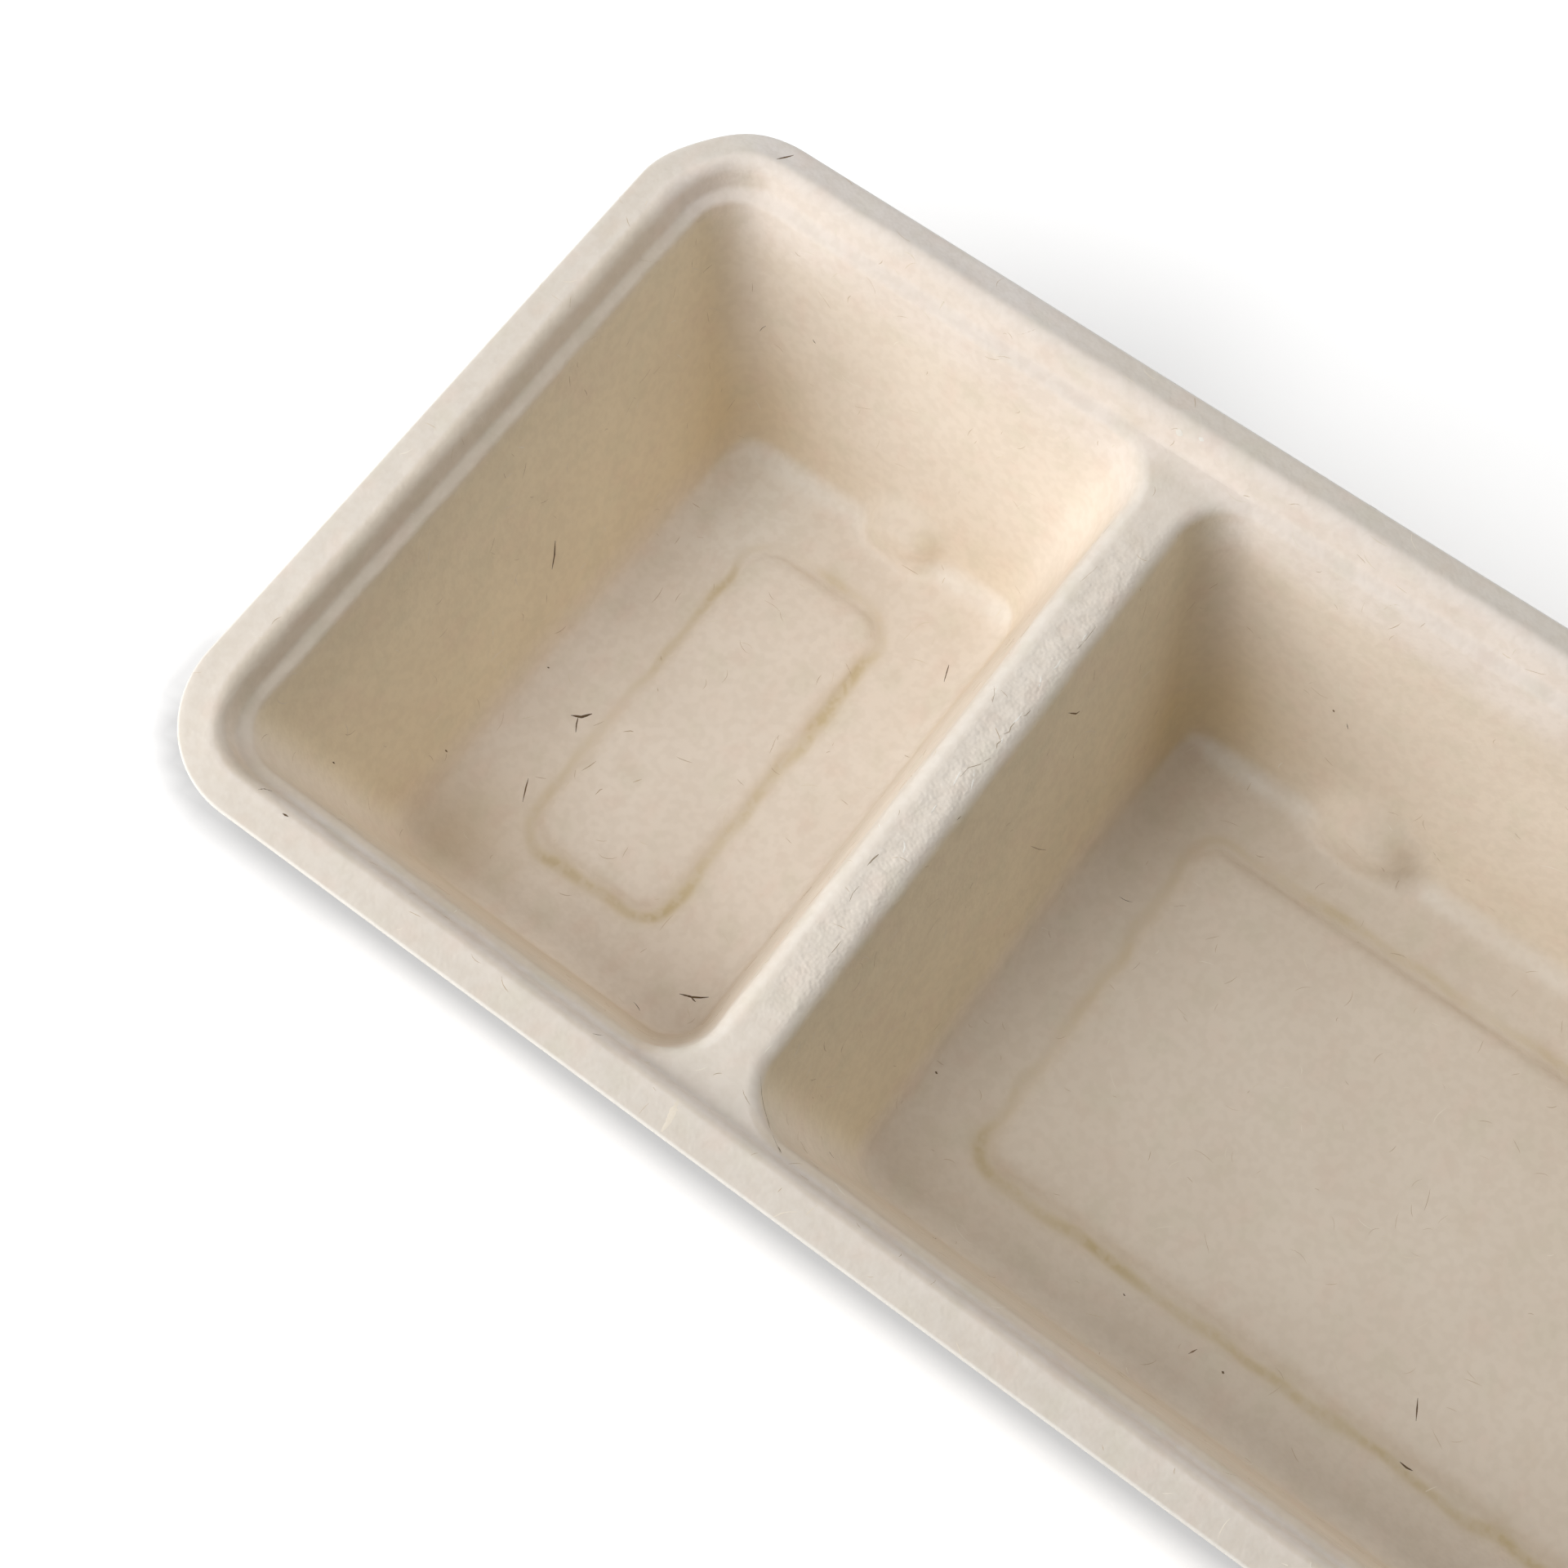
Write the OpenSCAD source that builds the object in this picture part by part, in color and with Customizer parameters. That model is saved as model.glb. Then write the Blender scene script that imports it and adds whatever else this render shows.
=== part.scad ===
// Two-compartment chip tray, moulded in one piece from plant fibre.
// One sheet of even thickness forms the rim, the step, the lid ledge, the
// divider and both compartments, so every raised form is hollow underneath.
// Units are millimetres. The floor ring stands on z = 0, x runs from the small
// compartment to the large one, and the tray is centred on x = 0 and y = 0.

/* [Rim] */
// Length over the trimmed edge
rim_length = 274; // [240:1:330]
// Width over the trimmed edge
rim_width = 120; // [110:1:150]
// Corner radius of the trimmed edge in plan
rim_corner_r = 15.6; // [13:0.2:24]
// Width of the band from the trimmed edge to the crest
band_width = 3.95; // [3:0.05:4.4]
// Angle at which the band falls away to the trimmed edge
band_slope = 12; // [4:1:20]
// Height of the crest above the ledge, over the top face
step_height = 3.9; // [3:0.1:5]
// Lean of the step's face away from the vertical
step_lean = 20; // [15:1:30]
// Radius of the rounded crest, on the top face
crest_r = 2.3; // [1.8:0.1:2.6]
// Radius where the step runs out into the ledge, on the top face
step_foot_r = 0.9; // [0.6:0.1:1.4]
// Width of the ledge between the step and a mouth
ledge_width = 1.2; // [0.8:0.1:1.6]
// Angle at which the ledge falls inward to a mouth
ledge_slope = 30; // [10:1:35]
// Radius with which the ledge turns down into a wall, on the top face
ledge_lip_r = 1.3; // [1.3:0.1:1.8]

/* [Sheet] */
// Height of the tray from the floor ring to the crest
tray_height = 49; // [36:1:60]
// Thickness of the moulded sheet
sheet_t = 0.8; // [0.6:0.1:1.2]

/* [Compartments] */
// Length of the small compartment's mouth
small_mouth_length = 73.4; // [62:0.2:90]
// Width of the flat top of the divider
divider_top = 4.8; // [3:0.2:10]
// Draft of the walls away from the vertical
wall_draft = 14; // [8:0.5:16]
// Radius with which the divider's top turns down into a wall, on the top face
lip_r = 1.8; // [1.5:0.1:2.4]
// Corner radius of a mouth beside the divider
divider_corner_r = 8.6; // [6:0.2:12]
// Corner radius of a compartment where the wall meets its foot fillet
floor_corner_r = 5.6; // [5:0.1:8]
// Radius of the fillet from wall to floor, on the top face
foot_fillet_r = 4; // [2:0.1:4.5]

/* [Floor panels] */
// Rise of the panels above the floor ring
panel_rise = 1.1; // [0.5:0.1:2]
// Width of the sloping border of a panel
panel_ramp = 3; // [1.5:0.1:4]
// Width of the floor ring between a wall and a panel
floor_ring = 11.8; // [9:0.2:14]
// Width of the floor ring between the small panel and the divider
small_ring_at_divider = 13.6; // [11:0.2:18]
// Width of the floor ring between the large panel and the divider
large_ring_at_divider = 10.6; // [9:0.2:14]
// Corner radius of the small panel
small_panel_r = 5.4; // [4.5:0.2:7]
// Corner radius of the large panel
large_panel_r = 4.4; // [4.2:0.2:7]

/* [Lugs] */
// Distance from a compartment's end wall, at floor level, to its lug
lug_from_end = 29; // [18:1:34]
// Height of a lug's top above the floor
lug_height = 8.5; // [6:0.5:14]
// Width of a lug along the wall, at the floor
lug_width = 15; // [14:0.5:20]
// Width of a lug along the wall, at its crown
lug_crown_width = 9; // [7:0.5:12]
// Radius of the crown of a lug
lug_crown_r = 2.6; // [1.8:0.1:3.4]
// Reach of a lug from the foot of the wall
lug_reach = 4.4; // [3.6:0.1:6]

/* [Hidden] */

// Segments in each quarter of a plan corner, and in each rounded edge
corner_steps = 8;
edge_steps = 5;
foot_end_steps = 2;
lug_fn = 28;
// Length by which a cutting solid passes through the face that it opens
cut_through = 1;
// Thickness of the slices that a panel is hulled from
slice = 0.01;

floor_z = sheet_t;
ledge_z = tray_height - step_height;

// A rounded rectangle is [x0, x1, y0, y1, radius at x0, radius at x1].
function inset_box(b, d) = [b[0] + d, b[1] - d, b[2] + d, b[3] - d, b[4] - d, b[5] - d];

function corner_arc(cx, cy, r, start) = [
    for (i = [0:corner_steps])
        let (a = start + 90 * i / corner_steps)
        [cx + r * cos(a), cy + r * sin(a)]
];

function outline(b) = concat(
    corner_arc(b[0] + b[4], b[2] + b[4], b[4], 180),
    corner_arc(b[1] - b[5], b[2] + b[5], b[5], 270),
    corner_arc(b[1] - b[5], b[3] - b[5], b[5], 0),
    corner_arc(b[0] + b[4], b[3] - b[4], b[4], 90)
);

// Coordinates are rounded to a nanometre, so that faces meant to share a plane
// or an edge share it exactly.
function snapped(v) = round(v * 1e6) / 1e6;

function ring(b, z) = [for (p = outline(b)) [snapped(p[0]), snapped(p[1]), snapped(z)]];

// Points along an arc in a section, as [distance inward, height]. The angle is
// that of the surface normal, measured from straight up towards the inside.
function section_arc(centre, r, from, to, steps = edge_steps) = [
    for (i = [0:steps])
        let (a = from + (to - from) * i / steps)
        [centre[0] + r * sin(a), centre[1] + r * cos(a)]
];

rim_box = [
    -rim_length / 2, rim_length / 2, -rim_width / 2, rim_width / 2,
    rim_corner_r, rim_corner_r
];

// The step's face leaves the crest and meets the ledge at this normal angle.
step_angle = 90 - step_lean;
crest_centre = [
    band_width,
    tray_height - crest_r
];
step_drop_on_face = step_height - (crest_r + step_foot_r) * (1 - cos(step_angle));
step_foot_centre = [
    crest_centre[0] + (crest_r + step_foot_r) * sin(step_angle)
        + step_drop_on_face / tan(step_angle),
    ledge_z + step_foot_r
];
deck_inset = step_foot_centre[0] + ledge_width / 2;
band_start = crest_centre + crest_r * [-sin(band_slope), cos(band_slope)];
band_edge_z = band_start[1] - band_start[0] * tan(band_slope);

// The ledge leaves the foot of the step where their slopes are the same.
ledge_normal = [sin(ledge_slope), cos(ledge_slope)];
ledge_start = step_foot_centre - step_foot_r * ledge_normal;
ledge_end = ledge_start + ledge_width * [1, -tan(ledge_slope)];

// The lower part of the step's foot, which shows only at the divider's ends
function foot_end(offset) = section_arc(
    step_foot_centre, -(step_foot_r + offset), ledge_slope, 0, foot_end_steps
);

// One face of the rim from the trimmed edge to the deck. An offset of 0 is the
// top face, and an offset of the sheet's thickness is the underside.
function rim_face(offset) = concat(
    [[0, band_edge_z - offset / cos(band_slope)]],
    section_arc(crest_centre, crest_r - offset, -band_slope, step_angle),
    section_arc(step_foot_centre, -(step_foot_r + offset), step_angle, ledge_slope),
    [for (i = [1:foot_end_steps]) foot_end(offset)[i]],
    [[deck_inset, ledge_z - offset]]
);

function reversed(list) = [for (i = [len(list) - 1:-1:0]) list[i]];

// Sides of a loft from each ring of n points to the next, and back from the
// last ring to the first where the section is a closed loop.
function loft_sides(count, n, closed) = [
    for (k = [0:count - (closed ? 1 : 2)], i = [0:n - 1])
        let (
            a = k * n + i,
            b = k * n + (i + 1) % n,
            c = ((k + 1) % count) * n + (i + 1) % n,
            d = ((k + 1) % count) * n + i
        )
        each [[a, d, c], [a, c, b]]
];

module loft(rings, closed = false) {
    n = len(rings[0]);
    last = (len(rings) - 1) * n;
    caps = closed ? [] : [
        [for (i = [0:n - 1]) i],
        [for (i = [n - 1:-1:0]) last + i]
    ];
    polyhedron(
        points = [for (r = rings) each r],
        faces = concat(loft_sides(len(rings), n, closed), caps)
    );
}

// Band, crest and step, all the way round.
module rim() {
    section = concat(rim_face(0), reversed(rim_face(sheet_t)));
    loft([for (p = section) ring(inset_box(rim_box, p[0]), p[1])], closed = true);
}

// Plate that holds both mouths and forms the top of the divider.
module deck() {
    b = inset_box(rim_box, deck_inset);
    loft([ring(b, ledge_z - sheet_t), ring(b, ledge_z)]);
}

// The walls touch their lips and their fillets at this normal angle.
wall_angle = 90 - wall_draft;

ledge_lip_centre = ledge_end - ledge_lip_r * ledge_normal;
divider_lip_centre = [0, ledge_z - lip_r];

function lip_foot(centre, r) = centre + r * [sin(wall_angle), cos(wall_angle)];

// Centre of the fillet at the foot of a wall that starts at a lip's lower end
fillet_start_z = floor_z + foot_fillet_r * (1 - cos(wall_angle));
function fillet_start(lip_end) = lip_end[0] + (lip_end[1] - fillet_start_z) * tan(wall_draft);
function fillet_centre(start) = [
    start + foot_fillet_r * sin(wall_angle),
    floor_z + foot_fillet_r
];

rim_fillet_start = fillet_start(lip_foot(ledge_lip_centre, ledge_lip_r));
divider_fillet_start = fillet_start(lip_foot(divider_lip_centre, lip_r));

// Distances to the line where a wall and the floor would cross, measured from
// the trimmed edge at the rim and from the mouth's edge at the divider
foot_drop = (fillet_start_z - floor_z) * tan(wall_draft);
rim_foot_inset = rim_fillet_start + foot_drop;
divider_foot_inset = divider_fillet_start + foot_drop;

// A compartment is [x0, x1, index of the x beside the divider]. At the rim, x is
// that of the trimmed edge.
small_end = rim_box[0] + ledge_end[0] + small_mouth_length;
small_bowl = [rim_box[0], small_end, 1];
large_bowl = [small_end + divider_top, rim_box[1], 0];

function bowl_box(bowl, rim_d, divider_d, rim_r, divider_r) = bowl[2] == 1
    ? [
        bowl[0] + rim_d, bowl[1] - divider_d, rim_box[2] + rim_d, rim_box[3] - rim_d,
        rim_r, divider_r
    ]
    : [
        bowl[0] + divider_d, bowl[1] - rim_d, rim_box[2] + rim_d, rim_box[3] - rim_d,
        divider_r, rim_r
    ];

function smooth(t) = let (u = min(max(t, 0), 1)) u * u * (3 - 2 * u);

// Ring of a compartment from a point of its section at the rim and one at the
// divider. Its height changes from one to the other round the divider's corners.
function bowl_ring(bowl, rim, divider, rim_r, divider_r) = [
    for (p = outline(bowl_box(bowl, rim[0], divider[0], rim_r, divider_r)))
        let (
            reach = abs(p[0] - bowl[bowl[2]]) - divider[0],
            weight = smooth(reach / divider_r),
            z = rim[1] * weight + divider[1] * (1 - weight)
        )
        [snapped(p[0]), snapped(p[1]), snapped(z)]
];

// Rings from the mouth down to the wall. Their corners keep to the rim's corner.
function mouth_ring(bowl, rim, divider) = bowl_ring(
    bowl, rim, divider, rim_corner_r - rim[0],
    divider_corner_r - (rim[0] - ledge_start[0] + divider[0]) / 2
);

// Rings of the fillet. Their corners are rounded about an axis of their own.
function foot_ring(bowl, rim, divider) =
    let (r = floor_corner_r + rim_fillet_start - rim[0])
    bowl_ring(bowl, rim, divider, r, r);

// The space of a compartment, or that space with the sheet around it.
module bowl(bowl, offset) {
    rim_top = concat(
        [ledge_start - offset * ledge_normal],
        section_arc(ledge_lip_centre, ledge_lip_r - offset, ledge_slope, wall_angle)
    );
    divider_top = section_arc(
        divider_lip_centre, lip_r - offset, 0, wall_angle, edge_steps + 1
    );
    rim_foot = section_arc(
        fillet_centre(rim_fillet_start), -(foot_fillet_r + offset), 0, wall_angle
    );
    divider_foot = section_arc(
        fillet_centre(divider_fillet_start), -(foot_fillet_r + offset), 0, wall_angle
    );
    lid_z = offset == 0 ? ledge_z + cut_through : ledge_z - sheet_t / 2;
    loft(concat(
        [for (i = [0:edge_steps]) foot_ring(bowl, rim_foot[i], divider_foot[i])],
        [for (i = [edge_steps + 1:-1:0]) mouth_ring(bowl, rim_top[i], divider_top[i])],
        [for (p = [mouth_ring(bowl, rim_top[0], divider_top[0])]) [for (q = p) [q[0], q[1], lid_z]]]
    ));
}

// Outlines of the two panels, at the crease where they leave the floor ring.
small_foot = bowl_box(small_bowl, rim_foot_inset, divider_foot_inset, 0, 0);
large_foot = bowl_box(large_bowl, rim_foot_inset, divider_foot_inset, 0, 0);
small_panel = [
    small_foot[0] + floor_ring, small_foot[1] - small_ring_at_divider,
    small_foot[2] + floor_ring, small_foot[3] - floor_ring,
    small_panel_r, small_panel_r
];
large_panel = [
    large_foot[0] + large_ring_at_divider, large_foot[1] - floor_ring,
    large_foot[2] + floor_ring, large_foot[3] - floor_ring,
    large_panel_r, large_panel_r
];

ramp_angle = atan(panel_rise / panel_ramp);

module panel_slice(panel, inset, z) {
    translate([0, 0, z])
        linear_extrude(slice)
            polygon(outline(inset_box(panel, inset)));
}

// Raised plateau with a sloping border, carried on below the floor.
module raised_panel(panel, offset) {
    crease = offset * tan(ramp_angle / 2);
    hull() {
        panel_slice(panel, crease - cut_through / tan(ramp_angle), floor_z - offset - cut_through);
        panel_slice(panel, crease + panel_ramp, floor_z - offset + panel_rise - slice);
    }
}

// Rounded lug against the wall at the far side, wide at the floor and narrower
// where its crown runs out into the wall. It keeps stacked trays apart.
module lug(x, foot_y, offset) {
    foot_span = lug_width / 2 - lug_reach;
    crown_span = lug_crown_width / 2 - lug_crown_r;
    crown_z = lug_height - lug_crown_r;
    translate([x, foot_y, floor_z])
        hull() {
            for (side = [-1, 1]) {
                translate([side * foot_span, 0, 0])
                    sphere(r = lug_reach - offset, $fn = lug_fn);
                translate([side * crown_span, crown_z * tan(wall_draft), crown_z])
                    sphere(r = lug_crown_r - offset, $fn = lug_fn);
            }
        }
}

small_lug_x = small_foot[0] + lug_from_end;
large_lug_xs = [large_foot[0] + lug_from_end, large_foot[1] - lug_from_end];

module small_compartment(offset) {
    difference() {
        bowl(small_bowl, offset);
        raised_panel(small_panel, offset);
        lug(small_lug_x, small_foot[3], offset);
    }
}

module large_compartment(offset) {
    difference() {
        bowl(large_bowl, offset);
        raised_panel(large_panel, offset);
        for (x = large_lug_xs)
            lug(x, large_foot[3], offset);
    }
}

module tray() {
    color([0.87, 0.82, 0.75])
        difference() {
            union() {
                rim();
                deck();
                small_compartment(sheet_t);
                large_compartment(sheet_t);
            }
            small_compartment(0);
            large_compartment(0);
        }
}

tray();
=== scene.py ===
import math
import random

import bpy
import numpy as np
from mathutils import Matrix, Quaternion, Vector
from mathutils.bvhtree import BVHTree
from mathutils.geometry import delaunay_2d_cdt


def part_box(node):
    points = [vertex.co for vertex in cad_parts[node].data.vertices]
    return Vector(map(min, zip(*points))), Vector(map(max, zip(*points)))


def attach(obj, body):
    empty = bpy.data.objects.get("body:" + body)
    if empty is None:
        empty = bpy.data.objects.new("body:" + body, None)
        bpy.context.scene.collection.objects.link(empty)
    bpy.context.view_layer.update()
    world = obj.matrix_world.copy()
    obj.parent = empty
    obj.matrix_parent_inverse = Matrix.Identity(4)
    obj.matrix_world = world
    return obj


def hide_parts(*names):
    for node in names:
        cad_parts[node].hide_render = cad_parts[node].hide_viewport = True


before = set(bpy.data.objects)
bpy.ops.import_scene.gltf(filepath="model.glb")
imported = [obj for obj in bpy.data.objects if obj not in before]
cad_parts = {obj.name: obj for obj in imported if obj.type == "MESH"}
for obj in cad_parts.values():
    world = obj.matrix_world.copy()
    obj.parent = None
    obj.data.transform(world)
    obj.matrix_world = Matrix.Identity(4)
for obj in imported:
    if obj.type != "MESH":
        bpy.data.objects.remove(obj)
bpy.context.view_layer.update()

# The tray is drawn in millimetres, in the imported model's frame, and scaled to metres at the end.
MM = 0.001
low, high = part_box("tray")
RIM_LENGTH = round((high.x - low.x) / MM, 1)
RIM_WIDTH = round((high.y - low.y) / MM, 1)

# Sizes of the solid part, which the visible shell follows. The foot of the step, the ledge, the divider's
# lips and the small lug are a little softer here than in the solid, as the wet pulp rounds them off.
TRAY_HEIGHT = 49.0
SHEET = 0.8
RIM_CORNER_R = 15.6
BAND_WIDTH = 3.95
BAND_SLOPE = math.radians(12)
STEP_HEIGHT = 3.9
STEP_LEAN = math.radians(20)
CREST_R = 2.3
STEP_FOOT_R = 1.15
SEAT_SLOPE = math.radians(30)
SEAT_WIDTH = 0.95
SEAT_LIP_R = 1.5
SMALL_MOUTH_LENGTH = 74.0
DIVIDER_TOP = 3.6
WALL_DRAFT = math.radians(14)
LIP_R = 2.6
DIVIDER_CORNER_R = 9.2
FLOOR_CORNER_R = 5.6
FOOT_FILLET_R = 4.0
PANEL_RISE = 1.1
PANEL_RAMP = 3.0
PANEL_END = 105.6
PANEL_SIDE = 28.6
SMALL_PANEL_STOP = -81.4
LARGE_PANEL_START = -27.4
SMALL_PANEL_R = 5.4
LARGE_PANEL_R = 4.4
LUG_FROM_END = 29.0
LUG_SIZE = np.array([7.5, 4.4, 8.5])
LUG_POWER = 2.6
LUG_PUSH = np.array([0.0, -0.6, 0.8])
SMALL_LUG_SCALE = 0.86
LUG_SOFTENING = 9

# Slow departures from true, in mm and degrees
FLAT_CORNER = 0.7
FLAT_CORNER_ANGLE = 146
FLAT_CORNER_SPREAD = 36
END_BAND_WIDENING = 0.35
WAVE = 0.12
UNEVENNESS = 0.035
TEAR_DEPTH = 0.07

FLOOR_Z = SHEET
LEDGE_Z = TRAY_HEIGHT - STEP_HEIGHT


def make_camera():
    """The camera at the photograph's viewing angle, fitted to the tray's edges."""
    data = bpy.data.cameras.new("camera")
    data.lens = 62.27
    data.sensor_width = 36.0
    data.shift_x = -0.00205
    data.clip_start = 0.01
    data.clip_end = 20.0
    camera = bpy.data.objects.new("camera", data)
    camera.location = (0.0073, -0.11466, 0.35735)
    camera.rotation_euler = [math.radians(a) for a in (21.907, 0.171, 36.746)]
    bpy.context.scene.collection.objects.link(camera)
    bpy.context.scene.camera = camera


# Colours of the pulp, and of the light and shade painted on it


def srgb(r, g, b):
    """Linear colour of a colour written in 0 to 255."""
    shares = [c / 255 for c in (r, g, b)]
    linear = [c / 12.92 if c <= 0.04045 else ((c + 0.055) / 1.055) ** 2.4 for c in shares]
    return (*linear, 1.0)


RIM_COLOUR = srgb(229, 221, 210)
DIVIDER_COLOUR = srgb(238, 229, 217)
STEP_COLOUR = srgb(246, 236, 225)
# Painted light on the far step and the top of the far wall, which face the lamps
FAR_STEP_LIGHT_COLOUR = srgb(248, 238, 228)
# Painted shade on the step where it faces the end, away from the lamps
END_STEP_SHADE_COLOUR = srgb(236, 224, 207)
# Painted shade on the faces that turn to the near side, away from the lamps
NEAR_WALL_SHADE_COLOUR = srgb(230, 217, 199)
INSIDE_COLOUR = srgb(243, 232, 218)
# Walls that face the end, away from the lamps: partly the pulp's warmer colour, partly painted warm shade
END_WALL_TINT_AND_SHADE_COLOUR = srgb(242, 229, 202)
# Low on the far wall: partly the pulp's browner colour, partly painted shade
FOOT_TINT_AND_SHADE_COLOUR = srgb(236, 220, 192)
# Painted shade deep in the far corners
FAR_CORNER_SHADE_COLOUR = srgb(222, 202, 160)
# Painted shade in the small floor's near corner
NEAR_CORNER_SHADE_COLOUR = srgb(220, 204, 180)
# Painted shade: the large compartment's floor, darker as the light falls off towards its end
LARGE_FLOOR_SHADE_COLOUR = srgb(236, 225, 210)
SMALL_FLOOR_COLOUR = srgb(245, 235, 223)
# Painted shade: the large compartment's far wall, darker as the light falls off towards its end
LARGE_WALL_SHADE_COLOUR = srgb(239, 226, 209)
# Painted shade on the divider's wall that faces the lamps
DIVIDER_WALL_SHADE_COLOUR = srgb(235, 223, 208)
# Painted highlight on the divider's lip that faces the lamps
DIVIDER_LIP_HIGHLIGHT_COLOUR = srgb(243, 236, 226)
# Painted highlight on the lugs' sides that face the lamps
LUG_HIGHLIGHT_COLOUR = srgb(252, 243, 232)
# Painted light on the near step, over the painted shade of near-facing faces
NEAR_STEP_LIGHT_COLOUR = srgb(246, 238, 231)
FAR_BAND_COLOUR = srgb(233, 226, 219)
CLOUD_COLOUR = srgb(208, 192, 172)
PINK_COLOUR = srgb(234, 206, 190)
GREEN_COLOUR = srgb(214, 212, 186)
STAIN_COLOUR = srgb(208, 190, 149)
CLOT_COLOUR = srgb(192, 174, 150)
# Pale fibres, and painted light on the small floor's far corner, along the far fillet and at the trimmed
# edge
PALE_COLOUR = srgb(250, 247, 240)


# Outlines and sections


def inset_box(box, d):
    """A rounded rectangle [x0, x1, y0, y1, radius at x0, radius at x1], moved inward by d."""
    x0, x1, y0, y1, r0, r1 = box
    return [x0 + d, x1 - d, y0 + d, y1 - d, r0 - d, r1 - d]


def outline(box, counts):
    """Points round a rounded rectangle, anticlockwise, with the same count for every box."""
    along_x, along_y, per_corner = counts
    x0, x1, y0, y1, r0, r1 = box
    corners = [
        (x0 + r0, y0 + r0, r0, 180),
        (x1 - r1, y0 + r1, r1, 270),
        (x1 - r1, y1 - r1, r1, 0),
        (x0 + r0, y1 - r0, r0, 90),
    ]
    sides = [along_x, along_y, along_x, along_y]
    arcs = []
    for cx, cy, r, start in corners:
        a = np.radians(np.linspace(start, start + 90, per_corner + 1))
        arcs.append(np.stack([cx + r * np.cos(a), cy + r * np.sin(a)], 1))
    points = []
    for i, steps in enumerate(sides):
        points.append(arcs[i])
        t = np.linspace(0, 1, steps + 1)[1:-1, None]
        points.append(arcs[i][-1] * (1 - t) + arcs[(i + 1) % 4][0] * t)
    return np.concatenate(points)


def ring(box, z, counts):
    """A level outline, as points in space."""
    points = outline(box, counts)
    return np.column_stack([points, np.full(len(points), z)])


def arc_section(centre, r, start, end, steps):
    """Points [distance inward, height] along an arc; angles are the normal's, from straight up."""
    a = np.linspace(start, end, steps + 1)
    return np.column_stack([centre[0] + r * np.sin(a), centre[1] + r * np.cos(a)])


RIM_BOX = [-RIM_LENGTH / 2, RIM_LENGTH / 2, -RIM_WIDTH / 2, RIM_WIDTH / 2, RIM_CORNER_R, RIM_CORNER_R]

STEP_ANGLE = math.pi / 2 - STEP_LEAN
CREST_CENTRE = (BAND_WIDTH, TRAY_HEIGHT - CREST_R)
STEP_DROP = STEP_HEIGHT - (CREST_R + STEP_FOOT_R) * (1 - math.cos(STEP_ANGLE))
STEP_FOOT_CENTRE = (
    CREST_CENTRE[0] + (CREST_R + STEP_FOOT_R) * math.sin(STEP_ANGLE) + STEP_DROP / math.tan(STEP_ANGLE),
    LEDGE_Z + STEP_FOOT_R,
)
BAND_START = (
    CREST_CENTRE[0] - CREST_R * math.sin(BAND_SLOPE),
    CREST_CENTRE[1] + CREST_R * math.cos(BAND_SLOPE),
)
EDGE_Z = BAND_START[1] - BAND_START[0] * math.tan(BAND_SLOPE)

# The seat that a lid rests on falls inward from the foot of the step, on the rim's sides of each mouth
SEAT_NORMAL = np.array([math.sin(SEAT_SLOPE), math.cos(SEAT_SLOPE)])
SEAT_START = np.array(STEP_FOOT_CENTRE) - STEP_FOOT_R * SEAT_NORMAL
SEAT_END = SEAT_START + SEAT_WIDTH * np.array([1.0, -math.tan(SEAT_SLOPE)])
# The compartments start this share of the seat in from its outer end, and a fill closes the gap
SEAT_GAP = 0.1
SMALL_MOUTH_START = 8.3
SMALL_MOUTH_END = RIM_BOX[0] + SMALL_MOUTH_START + SMALL_MOUTH_LENGTH

WALL_ANGLE = math.pi / 2 - WALL_DRAFT


def wall_foot(lip_end):
    """Where a wall that starts at lip_end meets its foot fillet, and the fillet's centre."""
    z = FLOOR_Z + FOOT_FILLET_R * (1 - math.cos(WALL_ANGLE))
    start = np.array([lip_end[0] + (lip_end[1] - z) * math.tan(WALL_DRAFT), z])
    centre = np.array([start[0] + FOOT_FILLET_R * math.sin(WALL_ANGLE), FLOOR_Z + FOOT_FILLET_R])
    return start, centre


SEAT_LIP_CENTRE = SEAT_END - SEAT_LIP_R * SEAT_NORMAL
SEAT_LIP_END = SEAT_LIP_CENTRE + SEAT_LIP_R * np.array([math.sin(WALL_ANGLE), math.cos(WALL_ANGLE)])
RIM_FOOT_START, RIM_FOOT_CENTRE = wall_foot(SEAT_LIP_END)
DIVIDER_LIP_END = np.array([LIP_R * math.sin(WALL_ANGLE), LEDGE_Z - LIP_R * (1 - math.cos(WALL_ANGLE))])
DIVIDER_FOOT_CENTRE = wall_foot(DIVIDER_LIP_END)[1]
RIM_FOOT = RIM_FOOT_CENTRE[0] - FOOT_FILLET_R * math.tan(WALL_ANGLE / 2)
DIVIDER_FOOT = DIVIDER_FOOT_CENTRE[0] - FOOT_FILLET_R * math.tan(WALL_ANGLE / 2)

# Each bowl is [x0, x1, side of the divider: 0 or 1]; x is the divider's edge or the rim's outer edge
SMALL_BOWL = [RIM_BOX[0], SMALL_MOUTH_END, 1]
LARGE_BOWL = [SMALL_MOUTH_END + DIVIDER_TOP, RIM_BOX[1], 0]
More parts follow.
